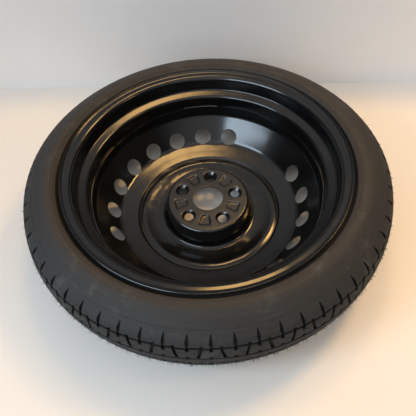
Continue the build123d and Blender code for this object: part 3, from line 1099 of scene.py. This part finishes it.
    def build(self, coat: bpy.types.Material) -> bpy.types.Object:
        """Build the dish.

        Args:
            coat: Its coat.

        Returns:
            The piece, in place of the node.
        """
        line = self.section()
        sheet = PressedSheet(line, self.columns, self.start, self.drop)
        hub = np.linspace(self.hub_cell[0] - self.bore, self.hub_cell[1] - self.bore, self.hub_rows)
        outer = np.flatnonzero(line.points[:, 0] > self.vent_inside)
        vent_run = sheet.run_at(self.vent_ring, outer[0], outer[-1])
        vents = np.linspace(vent_run - self.vent_reach, vent_run + self.vent_reach, self.vent_rows)
        rows = line.lengths
        between = rows[(rows > hub[-1] + self.row_gap) & (rows < vents[0] - self.row_gap)]
        longest = np.argmax(np.diff(between))
        crown = np.linspace(between[longest], between[longest + 1], self.crown_rows)[1:-1]
        beyond = rows[rows > vents[-1] + self.row_gap]
        flange = np.linspace(beyond[-2], beyond[-1], self.flange_rows)[1:-1]
        relief = beyond[-1] - self.relief_row
        sheet.block(np.linspace(0, hub[0], self.bore_rows), 0, self.columns)
        sheet.block(np.sort([hub[-1], *between, *crown, vents[0]]), 0, self.columns)
        sheet.block(np.sort([vents[-1], *beyond, *flange, relief]), 0, self.columns)
        wide = self.columns // (2 * self.bolts)
        radii = (self.bolt_hole, self.bolt_hole + sheet.HOLE_RING, *self.bolt_rings)
        for k in range(0, 2 * self.bolts, 2):
            sheet.hole(hub, k * wide, wide, radii, self.hub_shares)
            sheet.cell(hub, (k + 1) * wide, wide, self.pocket_rings, self.hub_shares, True)
        wide = self.columns // self.vent_cells
        radii = (self.vent, self.vent + sheet.HOLE_RING)
        for k in range(self.vent_cells):
            if k in self.plain_cells:
                sheet.block(vents, k * wide, wide)
            else:
                sheet.hole(vents, k * wide, wide, radii, self.vent_shares)
        piece = sheet.piece("dish_look", self.sheet, self.edge, up=True)
        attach(piece, "wheel")
        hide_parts("wheel_disc")
        self.dress(piece, coat)
        return piece


@dataclass
class WeldRuns(CoatedSteel):
    """Four rippled weld runs along the dish's flange edge."""

    count: int = 4
    arc: float = 20.0
    leg: float = 3.072
    flat: float = 0.92
    wall: float = 198.35
    floor: float = 39.15
    taper: float = 3.0
    start_size: float = 0.3
    bulge: float = 0.35
    ripple: float = 2.1
    ripple_bow: float = 1.4
    ripple_share: float = 0.3
    steps: int = 150
    face_points: int = 9

    def build(self, coat: bpy.types.Material) -> bpy.types.Object:
        """Build one run and set it round the wheel.

        Args:
            coat: Coat of the runs.

        Returns:
            The piece, in place of the node.
        """
        length = math.radians(self.arc) * self.wall
        along = np.linspace(0, length, self.steps + 1)[:, None]
        share = np.linspace(0, 1, self.face_points)[None, :]
        from_end = np.minimum(along, length - along) / self.taper
        swell = self.start_size + (1 - self.start_size) * np.sqrt(np.clip(from_end, 0, 1))
        hump = np.sin(math.pi * share)
        wave = np.abs(np.sin(math.pi * (along + self.ripple_bow * hump) / self.ripple))
        fat = 1 + self.bulge * hump * (1 - self.ripple_share + self.ripple_share * wave)
        leg = self.leg * swell * fat
        root = np.ones_like(along)
        radius = np.hstack([self.wall - leg * np.cos(TURN / 4 * share) * self.flat, root * self.wall])
        height = np.hstack([self.floor + leg * np.sin(TURN / 4 * share), root * self.floor])
        angle = math.radians(-self.arc / 2) + along / self.wall
        draft = Draft()
        draft.grid(np.stack([radius * np.cos(angle), radius * np.sin(angle), height], axis=-1), closed=True)
        ring = self.face_points + 1
        draft.fan(range(ring))
        draft.fan(range(self.steps * ring, (self.steps + 1) * ring))
        piece = draft.piece("welds_look")
        RingOfCopies("weld_runs", self.count, coat).run(piece, SMOOTH_BELOW)
        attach(piece, "wheel")
        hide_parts("weld_beads")
        self.dress(piece, coat)
        return piece


class Outline:
    """The outside of half a tyre, read at any length from the crown's middle."""

    def __init__(self, points: np.ndarray) -> None:
        """Measure the line.

        Args:
            points: Its points, as radius and distance across.
        """
        self.points = points
        self.lengths = lengths_of(points)
        slope = np.gradient(points, self.lengths, axis=0)
        normals = np.stack([slope[:, 1], -slope[:, 0]], axis=-1)
        self.normals = normals / np.linalg.norm(normals, axis=1, keepdims=True)

    def read(self, table: np.ndarray, run: float) -> np.ndarray:
        """Give a row between the rows of a table."""
        return np.array([np.interp(run, self.lengths, table[:, k]) for k in range(2)])

    def at(self, run: float) -> tuple[np.ndarray, np.ndarray]:
        """Give the point and the outward normal at a length."""
        return self.read(self.points, run), self.read(self.normals, run)


@dataclass
class SpareTyre:
    """Narrow temporary tyre: four grooves, slanted slots, pockets and shoulder notches."""

    middle: float = 40.0
    radius: float = 303.6
    crown_curve: float = 97.0
    tread_half: float = 39.0
    edge_round: float = 4.5
    wall_centre: tuple[float, float] = (208.351, -60.157)
    wall_end: tuple[float, float] = (262.0, 60.4)
    belly_centre: tuple[float, float] = (254.225, 42.929)
    belly_end: tuple[float, float] = (240.9, 56.7)
    bead: tuple[Corner, ...] = (
        (238.9, 50.4, 1.5),
        (231.0, 50.4, 1.0),
        (228.6, 52.3, 1.0),
        (218.5, 52.3, 6.7),
        (217.19, 37.3, 1.5),
        (226.5, 38.8, 0.0),
    )
    liner_wall: tuple[float, float] = (250.96, 55.64)
    liner_shoulder: tuple[float, float] = (280.4, 39.0)
    liner_bow: tuple[float, float] = (290.6, 24.0)
    liner_crown: tuple[float, float] = (290.6, 0.0)
    # Radii and distance across of the band at the rim given full painted shade, a dark gap at the seam.
    seam: tuple[tuple[float, float], float] = ((229.5, 240.0), 49.0)
    pitches: int = 60
    first_notch: float = -91.8
    inner_groove: float = 8.0
    outer_groove: float = 31.5
    groove_half: float = 1.9
    groove_depth: float = 4.6
    slot_half: float = 2.1
    slot_lean: float = 2.6
    slot_depth: float = 4.0
    slot_end: float = 35.1
    pocket_half: float = 2.3
    pocket_depth: float = 4.2
    pocket_inner: tuple[float, float] = (5.0, 13.1)
    pocket_outer: float = 24.4
    notch_runs: tuple[float, ...] = (33.4, 36.5, 40.0, 44.0, 48.5, 53.0)
    notch_halves: tuple[float, ...] = (1.3, 1.9, 2.5, 2.2, 1.3, 0.4)
    notch_depths: tuple[float, ...] = (3.0, 3.6, 4.0, 3.6, 2.4, 0.8)
    notch_columns: tuple[int, ...] = (1, 2, 3)
    slot_columns: tuple[int, ...] = (9, 10)
    block_points: int = 5
    # Groove depth at which the painted shade is full.
    full_shade_depth: float = 3.0
    wall_lean: float = 0.3
    jog: float = 0.45
    jog_span: tuple[float, float] = (29.0, 34.0)
    per_pitch: int = 15
    rib_rows: tuple[float, ...] = (0.0, 4.8, 5.1, 13.0, 13.3, 17.0, 20.5, 24.2, 24.5, 27.2)
    edge_rows: tuple[float, ...] = (35.0, 36.5, 38.2, 40.0, 42.0, 44.0, 46.2, 48.5, 50.8, 52.7, 53.1)
    fine_end: float = 55.0
    wall_gap: float = 3.0
    wall_step: float = 3.6
    ridges: tuple[tuple[float, float], ...] = ((58.6, 0.4), (94.5, 0.45), (97.5, 0.45))
    ridge_half: float = 0.25
    ridge_foot: float = 0.6
    sharp: float = 38.0
    hair: tuple[float, float] = (4.8, 0.45)
    hair_sunk: float = 0.2

    @property
    def pitch(self) -> float:
        """Give the length of one tread pitch."""
        return TURN * self.radius / self.pitches

    def outer_line(self) -> Outline:
        """Draw the outside from the crown's middle to the gap at the flange.

        Returns:
            The outline.
        """
        rise = self.tread_half / self.crown_curve
        crown_centre = np.array([self.radius - self.crown_curve, 0.0])
        edge = crown_centre + self.crown_curve * np.array([math.cos(math.asin(rise)), rise])
        top, wall_end = np.array([self.radius, 0.0]), np.array(self.wall_end)
        crown = self.arc(crown_centre, top, edge, 200)
        wall = self.arc(np.array(self.wall_centre), edge, wall_end, 200)
        belly = self.arc(np.array(self.belly_centre), wall_end, np.array(self.belly_end), 120)
        line = np.concatenate([crown, wall[1:], belly[1:]])
        lengths = lengths_of(line)
        near = np.abs(lengths - lengths[len(crown) - 1]) < self.edge_round
        first, last = np.flatnonzero(near)[[0, -1]]
        rounded = curve(line[first], edge, line[last], 30)
        return Outline(np.concatenate([line[:first], rounded, line[last + 1 :]]))

    @staticmethod
    def arc(centre: np.ndarray, start: np.ndarray, end: np.ndarray, count: int) -> np.ndarray:
        """Sample an arc.

        Args:
            centre: Its centre.
            start: Its first point.
            end: Its last point.
            count: Number of points.

        Returns:
            The points.
        """
        low = math.atan2(*(start - centre)[::-1])
        high = math.atan2(*(end - centre)[::-1])
        size = np.linspace(np.linalg.norm(start - centre), np.linalg.norm(end - centre), count)
        angle = np.linspace(low, high, count)
        return centre + size[:, None] * np.stack([np.cos(angle), np.sin(angle)], axis=-1)

    def fine_rows(self) -> list[float]:
        """List the rows of half the tread, as lengths from the crown's middle.

        Returns:
            The lengths.
        """
        rows = [*self.rib_rows, *self.edge_rows, self.fine_end]
        for centre in (self.inner_groove, self.outer_groove):
            low, high = centre - self.groove_half, centre + self.groove_half
            rows += [low - self.wall_lean, low, high, high + self.wall_lean]
        return sorted(rows)

    def notch_half(self, run: float) -> float:
        """Give half the width of the notches and pockets at a distance from the crown's middle."""
        notch = float(np.interp(run, self.notch_runs, self.notch_halves))
        return self.pocket_half if run < self.notch_runs[0] - 0.05 else notch

    def across(self, run: float) -> np.ndarray:
        """Lay out the columns of two pitches on one row; the lower half is half a pitch on.

        Args:
            run: Distance of the row from the crown's middle, below zero on the outboard half.

        Returns:
            Places along the tread, in millimetres at the crown's radius.
        """
        pitch = self.pitch
        lean = self.wall_lean
        notch = self.notch_half(abs(run))
        share = (abs(run) - self.inner_groove) / (self.outer_groove - self.inner_groove)
        share = float(np.clip(share, 0, 1))
        ends = []
        for k in range(3):
            slant = self.slot_lean * (1 - 2 * share) * (1 if k % 2 == 0 else -1)
            if run < 0:
                ends.append(((-slant, self.slot_half), (pitch / 2, notch)))
            else:
                ends.append(((0.0, notch), (pitch / 2 + slant, self.slot_half)))
        places = []
        for k in range(2):
            (one, one_half), (two, two_half) = ends[k]
            (after, after_half) = ends[k + 1][0]
            row = [one - one_half - lean, one - one_half, one, one + one_half, one + one_half + lean]
            left, right = two - two_half - lean, two + two_half + lean
            row += list(np.linspace(row[-1], left, self.block_points)[1:-1])
            row += [left, left + lean, right - lean, right]
            row += list(np.linspace(right, pitch + after - after_half - lean, self.block_points)[1:-1])
            places += [pitch * k + place for place in row]
        return np.array(places + [2 * pitch + places[0]])

    def depth(self, run: float, column: int) -> float:
        """Give the depth of the pattern.

        Args:
            run: Distance of the row from the crown's middle, below zero on the outboard half.
            column: Column in its pitch.

        Returns:
            Depth below the smooth outside.
        """
        groups = (column in self.notch_columns, column in self.slot_columns)
        in_notch, in_slot = groups if run >= 0 else groups[::-1]
        run = abs(run)
        for centre in (self.inner_groove, self.outer_groove):
            if abs(run - centre) < self.groove_half + 0.01:
                return self.groove_depth
        inner = self.inner_groove + self.groove_half
        outer = self.outer_groove - self.groove_half
        low, high = self.pocket_inner
        if in_slot and inner < run < outer:
            return self.slot_depth
        if in_slot and self.outer_groove < run < self.slot_end:
            return 0.5 * self.slot_depth
        if in_notch and (low < run < high or self.pocket_outer < run < outer):
            return self.pocket_depth
        if in_notch and self.notch_runs[0] - 0.05 < run < self.notch_runs[-1]:
            return float(np.interp(run, self.notch_runs, self.notch_depths))
        return 0.0

    def shift(self, run: float, column: int) -> float:
        """Give the sideways step of the outer groove's edges from block to block.

        Args:
            run: Distance of the row from the crown's middle.
            column: Column in its pitch.

        Returns:
            The step.
        """
        low, high = self.jog_span
        if not low < run < high or column == 2:
            return 0.0
        return self.jog if 3 <= column <= 9 else -self.jog

    def wall_line(self, outline: Outline) -> np.ndarray:
        """Draw the plain part of half the section: sidewall, bead and liner.

        Args:
            outline: The outside.

        Returns:
            Points from the end of the pattern to the liner's crown.
        """
        end = outline.lengths[-1]
        runs = [*np.arange(self.fine_end + self.wall_gap, end, self.wall_step), end]
        for place, _ in self.ridges:
            for reach in (self.ridge_half, self.ridge_foot):
                runs += [place - reach, place + reach]
        spots = []
        for run in sorted(runs):
            spot, out = outline.at(run)
            lift = sum(height for place, height in self.ridges if abs(run - place) < self.ridge_half + 0.05)
            spots.append(spot + out * lift)
        bead = BentLine([(*self.belly_end, 0.0), *self.bead], 12.0).points[1:]
        shoulder = np.array(self.liner_shoulder)
        bow = 2 * np.array(self.liner_wall) - (bead[-1] + shoulder) / 2
        liner = curve(bead[-1], bow, shoulder, 9)[1:]
        roof = curve(shoulder, np.array(self.liner_bow), np.array(self.liner_crown), 5)[1:]
        return np.concatenate([np.array(spots), bead, liner, roof])

    def sector(self) -> bpy.types.Object:
        """Build two pitches of the tyre, from bead to bead.

        Returns:
            The object, open at its two ends.
        """
        outline = self.outer_line()
        half = self.fine_rows()
        rows = [-run for run in reversed(half[1:])] + half
        sheet, painted_shade = [], []
        for run in rows:
            side = -1.0 if run < 0 else 1.0
            row = []
            for j, place in enumerate(self.across(run)):
                column = j % self.per_pitch
                spot, out = outline.at(abs(run) + self.shift(abs(run), column))
                depth = self.depth(run, column)
                spot = spot - out * depth
                row.append(self.turned(spot[0], side * spot[1], place))
                # Painted shade grows with the groove's depth.
                painted_shade.append(min(1.0, depth / self.full_shade_depth))
            sheet.append(row)
        draft = Draft()
        draft.grid(np.array(sheet), painted_shade=np.array(painted_shade))
        columns = len(sheet[0])
        upper = self.wall_line(outline)
        loop = np.concatenate([upper, upper[-2::-1] * np.array([1.0, -1.0])])
        coarse = np.linspace(0, 2 * self.pitch, (columns - 1) // 3 + 1)
        base = len(draft.points)
        (low, high), across = self.seam
        # Mark the bead band against the rim flange for full painted shade.
        seam_shade = (loop[:, 0] > low) & (loop[:, 0] < high) & (np.abs(loop[:, 1]) > across)
        sheet = [[self.turned(r, c, place) for place in coarse] for r, c in loop]
        draft.grid(np.array(sheet), painted_shade=np.repeat(seam_shade * 1.0, len(coarse)))
        last = base + (len(loop) - 1) * len(coarse)
        for fine, plain in (((len(rows) - 1) * columns, base), (0, last)):
            for k in range(len(coarse) - 1):
                near = [fine + 3 * k + step for step in range(4)]
                draft.fan(near + [plain + k + 1, plain + k])
        return draft.piece("tyre_look")

    def turned(self, radius: float, across: float, place: float) -> Spot:
        """Turn a section point to its place along the tread, counted from the first notch."""
        angle = math.radians(self.first_notch) + place / self.radius
        return radius * math.cos(angle), radius * math.sin(angle), self.middle + across

    def build(self, rubber: bpy.types.Material) -> bpy.types.Object:
        """Build the tyre.

        Args:
            rubber: Its material.

        Returns:
            The piece, in place of the node.
        """
        piece = self.sector()
        RingOfCopies("tread_pitches", self.pitches // 2, rubber).run(piece, self.sharp)
        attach(piece, "wheel")
        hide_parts("tyre")
        return piece

    def hairs(self, rubber: bpy.types.Material) -> bpy.types.Object:
        """Stand rubber hairs on the shoulder and the rows, where the mould's air holes were.

        Args:
            rubber: Their material.

        Returns:
            The piece, riding the wheel.
        """
        outline = self.outer_line()
        spots, leans = [], []
        stands = [(35.0, 0.22), (35.0, 0.78), (20.0, 0.26), (20.0, 0.74)]
        stands += [(run, share) for run in (3.0, -3.0) for share in (0.1, 0.35, 0.6, 0.85)]
        stands += [(run, share) for run in (-16.0, -26.0) for share in (0.2, 0.3, 0.7, 0.8)]
        stands += [(run, share) for run in (-35.0, -37.0) for share in (0.05, 0.45, 0.95)]
        for k in range(self.pitches):
            for number, (run, share) in enumerate(stands):
                if (k * 7 + number * 3) % 5 == 0:
                    continue
                side = 1.0 if run > 0 else -1.0
                spot, out = outline.at(abs(run))
                place = (k + share + 0.05 * math.sin(5.3 * k + number)) * self.pitch
                spots.append(self.turned(spot[0] - self.hair_sunk * out[0], side * spot[1], place))
                swing = 80 * math.sin(2.4 * k + 1.7 * number)
                lean = side * (out[1] + 0.3 * math.sin(3.1 * k))
                tip = np.array(self.turned(out[0], lean, place + swing))
                leans.append(tip - np.array(self.turned(0.0, 0.0, place)))
        mesh = bpy.data.meshes.new("tyre_hairs_look")
        mesh.from_pydata((np.array(spots) * MM).tolist(), [], [])
        lean = mesh.attributes.new("lean", "FLOAT_VECTOR", "POINT")
        lean.data.foreach_set("vector", np.array(leans, dtype=np.float32).ravel())
        piece = stand("tyre_hairs_look", mesh)
        MouldHairs("mould_hairs", *self.hair, rubber).run(piece, SMOOTH_BELOW)
        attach(piece, "wheel")
        return piece


@dataclass
class CoreSpring:
    """Coil spring of the valve core, which shortens as the pin goes in; here it is one fixed mesh."""

    foot: Spot = (145.363, 147.407, 14.66)
    axis: Spot = (-0.450674, -0.457011, -0.766834)
    low: float = 15.17
    high: float = 25.83
    radius: float = 0.9
    wire: float = 0.14
    turns: int = 4
    steps: int = 32
    sides: int = 10

    def build(self, steel: bpy.types.Material) -> bpy.types.Object:
        """Wind the wire round the valve's axis between the barrel and the pin and close its ends.

        Args:
            steel: Material of the wire.

        Returns:
            The piece, in place of the node.
        """
        count = self.turns * self.steps
        share = np.linspace(0.0, 1.0, count + 1)[:, None]
        angle = share * self.turns * TURN
        around = np.linspace(0.0, TURN, self.sides, endpoint=False)[None, :]
        reach = self.radius + self.wire * np.cos(around)
        height = self.low + share * (self.high - self.low) + self.wire * np.sin(around)
        draft = Draft()
        draft.grid(np.stack([reach * np.cos(angle), reach * np.sin(angle), height], axis=-1), closed=True)
        draft.fan(range(self.sides))
        draft.fan(range(count * self.sides, (count + 1) * self.sides))
        way = Vector(self.axis)
        turn = way.to_track_quat("Z", "Y").to_matrix().to_4x4()
        turn.translation = Vector(self.foot) * MM
        piece = draft.piece("spring_look", turn)
        bake(piece, SMOOTH_BELOW)
        paint(piece, steel)
        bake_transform(piece)
        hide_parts("core_spring")
        return piece


@dataclass
class TyreValve:
    """Snap-in tyre valve: rubber body, brass stem and core, spring, seals and cap."""

    rubber: MouldedSkin = MouldedSkin("valve_rubber", (0.014, 0.014, 0.014), (0.06, 0.058, 0.055), 0.45)
    seal: MouldedSkin = MouldedSkin("seal_rubber", (0.03, 0.03, 0.032), (0.09, 0.09, 0.09), 0.5)
    plastic: MouldedSkin = MouldedSkin(
        name="cap_plastic",
        colour=(0.018, 0.018, 0.019),
        pale=(0.07, 0.07, 0.07),
        rough=0.42,
        patches=320.0,
        finer=0.7,
        patch_span=(0.52, 0.78),
        pale_share=0.5,
        pale_rough=0.2,
        grain=3200.0,
        grain_depth=0.025,
    )
    brass: TurnedMetal = TurnedMetal("brass", (0.74, 0.53, 0.22), (0.38, 0.24, 0.1), 0.24)
    steel: TurnedMetal = TurnedMetal("spring_steel", (0.6, 0.6, 0.6), (0.3, 0.29, 0.28), 0.28)

    def dress(self) -> None:
        """Give each piece of the valve its material and wind the spring."""
        looks = {
            self.rubber: ("valve_body",),
            self.brass: ("valve_stem", "core_plug", "core_barrel", "core_pin", "core_cup"),
            self.seal: ("core_gasket", "core_seal", "cap_seal"),
            self.plastic: ("valve_cap",),
        }
        for finish, nodes in looks.items():
            material = finish.material()
            for node in nodes:
                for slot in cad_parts[node].material_slots:
                    slot.material = material
                LOG.info("dressed %s", node)
        log_piece(CoreSpring().build(self.steel.material()))


class Tint(Enum):
    """Colours of the room's lamps."""

    WARM = (1.0, 0.58, 0.19)
    COOL = (0.66, 0.83, 1.0)


@dataclass(frozen=True)
class Lamp:
    """A round area lamp, or a flat one with a height of its own; lengths are metres."""

    name: str
    spot: Spot
    size: float
    power: float
    tint: Tint
    aim: Spot = (0.0, 0.0, 0.0)
    spread: float = 180.0
    height: float = 0.0
    mirrored: bool = True
    lights: bool = True

    def hang(self) -> None:
        """Hang the lamp and turn it to its aim."""
        light = bpy.data.lights.new(self.name, "AREA")
        light.shape = "RECTANGLE" if self.height else "DISK"
        light.size = self.size
        if self.height:
            light.size_y = self.height
        light.energy = self.power
        light.color = self.tint.value
        light.spread = math.radians(self.spread)
        lamp = stand(self.name, light)
        lamp.location = self.spot
        lamp.rotation_euler = (Vector(self.aim) - Vector(self.spot)).to_track_quat("-Z", "Y").to_euler()
        lamp.visible_glossy = self.mirrored
        lamp.visible_diffuse = self.lights


@dataclass(frozen=True)
class Glow:
    """A soft bright side of the room: its direction, the cosines where it starts and is full, its light."""

    way: Spot
    start: float
    full: float
    light: float


@dataclass
class Studio:
    """Table, wall, lamps and camera of the picture; the stage's reach and far edges are metres."""

    floor: float = -43.3
    wall_top: float = 220.0
    reach: float = 3.0
    table_far: tuple[float, float] = (0.95, 0.42)
    wall_line: tuple[float, float] = (0.634, 0.106)
    table: StageCoat = StageCoat("table", (0.83, 0.79, 0.735), (0.81, 0.77, 0.715), 0.4, 0.3)
    wall: StageCoat = StageCoat("wall", (0.95, 0.95, 0.95), (0.93, 0.93, 0.93), 0.7, 0.2)
    lamps: tuple[Lamp, ...] = (
        Lamp("warm_lamp", (1.1, 0.7, 1.83), 0.5, 5.6, Tint.WARM, (0.15, -0.6, 0.0), 90.0),
        Lamp("back_lamp", (0.125, 0.54, 1.48), 0.36, 5.0, Tint.WARM),
        Lamp("side_lamp", (0.9, -0.36, 1.0), 0.18, 1.2, Tint.WARM),
        Lamp(
            "cool_lamp", (-1.1, -0.58, 0.94), 0.55, 4.3, Tint.COOL, (0.1, -0.6, 0.0), 110.0, mirrored=False
        ),
        Lamp("window", (-0.84, -0.73, 0.85), 1.0, 16.0, Tint.COOL, height=0.45, lights=False),
    )
    room_tint: Colour = (0.97, 0.98, 1.0)
    room_dim: float = 0.06
    glows: tuple[Glow, ...] = (
        Glow((0.0, 0.0, 1.0), 0.45, 0.86, 0.5),
        Glow((-0.4, 0.83, 0.38), 0.3, 0.95, 0.1),
        Glow((-0.3, -0.7, 0.65), 0.5, 1.0, 0.66),
    )
    lens: float = 39.125
    camera_spot: Spot = (0.0, -496.353, 636.48)
    right: Spot = (0.997343, -0.05787, -0.044253)
    up: Spot = (0.072845, 0.800226, 0.595257)
    back: Spot = (0.000965, -0.596899, 0.802316)

    def build(self) -> None:
        """Set the stage, the lamps, the world and the camera."""
        low, top = self.floor * MM, self.wall_top * MM
        left, right = -self.reach, self.reach
        (far_left, far_right), (wall_left, wall_right) = self.table_far, self.wall_line
        near = [(left, -self.reach, low), (right, -self.reach, low)]
        self.plane("table_stage", near + [(right, far_right, low), (left, far_left, low)], self.table)
        foot = [(left, wall_left, low), (right, wall_right, low)]
        self.plane("wall_stage", foot + [(right, wall_right, top), (left, wall_left, top)], self.wall)
        for lamp in self.lamps:
            lamp.hang()
        self.room()
        self.camera()
        bpy.context.scene.view_settings.view_transform = "Standard"

    def room(self) -> None:
        """Light the scene from a dim room with a pale ceiling and two brighter sides."""
        world = bpy.data.worlds.new("room")
        bpy.context.scene.world = world
        world.use_nodes = True
        nodes = NodeTree(world.node_tree)
        way = nodes.value("ShaderNodeTexCoord", output="Generated")
        total: Shade | float = self.room_dim
        for glow in self.glows:
            settings = {"operation": "DOT_PRODUCT"}
            towards = nodes.value("ShaderNodeVectorMath", settings, {0: way, 1: glow.way}, "Value")
            total = towards.step(glow.start, glow.full) * glow.light + total
        background = world.node_tree.nodes["Background"]
        nodes.fill(background.inputs["Color"], self.room_tint)
        nodes.fill(background.inputs["Strength"], total)

    def plane(self, name: str, corners: list[Spot], coat: StageCoat) -> None:
        """Add a stage plane.

        Args:
            name: The object's name.
            corners: Its corners in metres.
            coat: Its finish.
        """
        mesh = bpy.data.meshes.new(name)
        mesh.from_pydata(corners, [], [(0, 1, 2, 3)])
        plane = stand(name, mesh)
        paint(plane, coat.material())

    def camera(self) -> None:
        """Set the camera where the picture was taken from."""
        data = bpy.data.cameras.new("camera")
        data.sensor_width = 36.0
        data.lens = self.lens
        camera = stand("camera", data)
        turn = Matrix((self.right, self.up, self.back)).transposed().to_4x4()
        turn.translation = Vector(self.camera_spot) * MM
        camera.matrix_world = turn
        bpy.context.scene.camera = camera


def log_piece(piece: bpy.types.Object) -> None:
    """Log a finished piece with its triangle count."""
    piece.data.calc_loop_triangles()
    LOG.info("built %s with %d triangles", piece.name, len(piece.data.loop_triangles))


def main() -> None:
    """Build every piece in order."""
    logging.basicConfig(level=logging.INFO, format="%(message)s")
    coat = BlackCoat().material()
    rubber = TyreRubber().material()
    for steel in (SteelRim(), SteelDish(), WeldRuns()):
        log_piece(steel.build(coat))
    tyre = SpareTyre()
    log_piece(tyre.build(rubber))
    log_piece(tyre.hairs(rubber))
    TyreValve().dress()
    Studio().build()


if __name__ == "__main__":
    main()
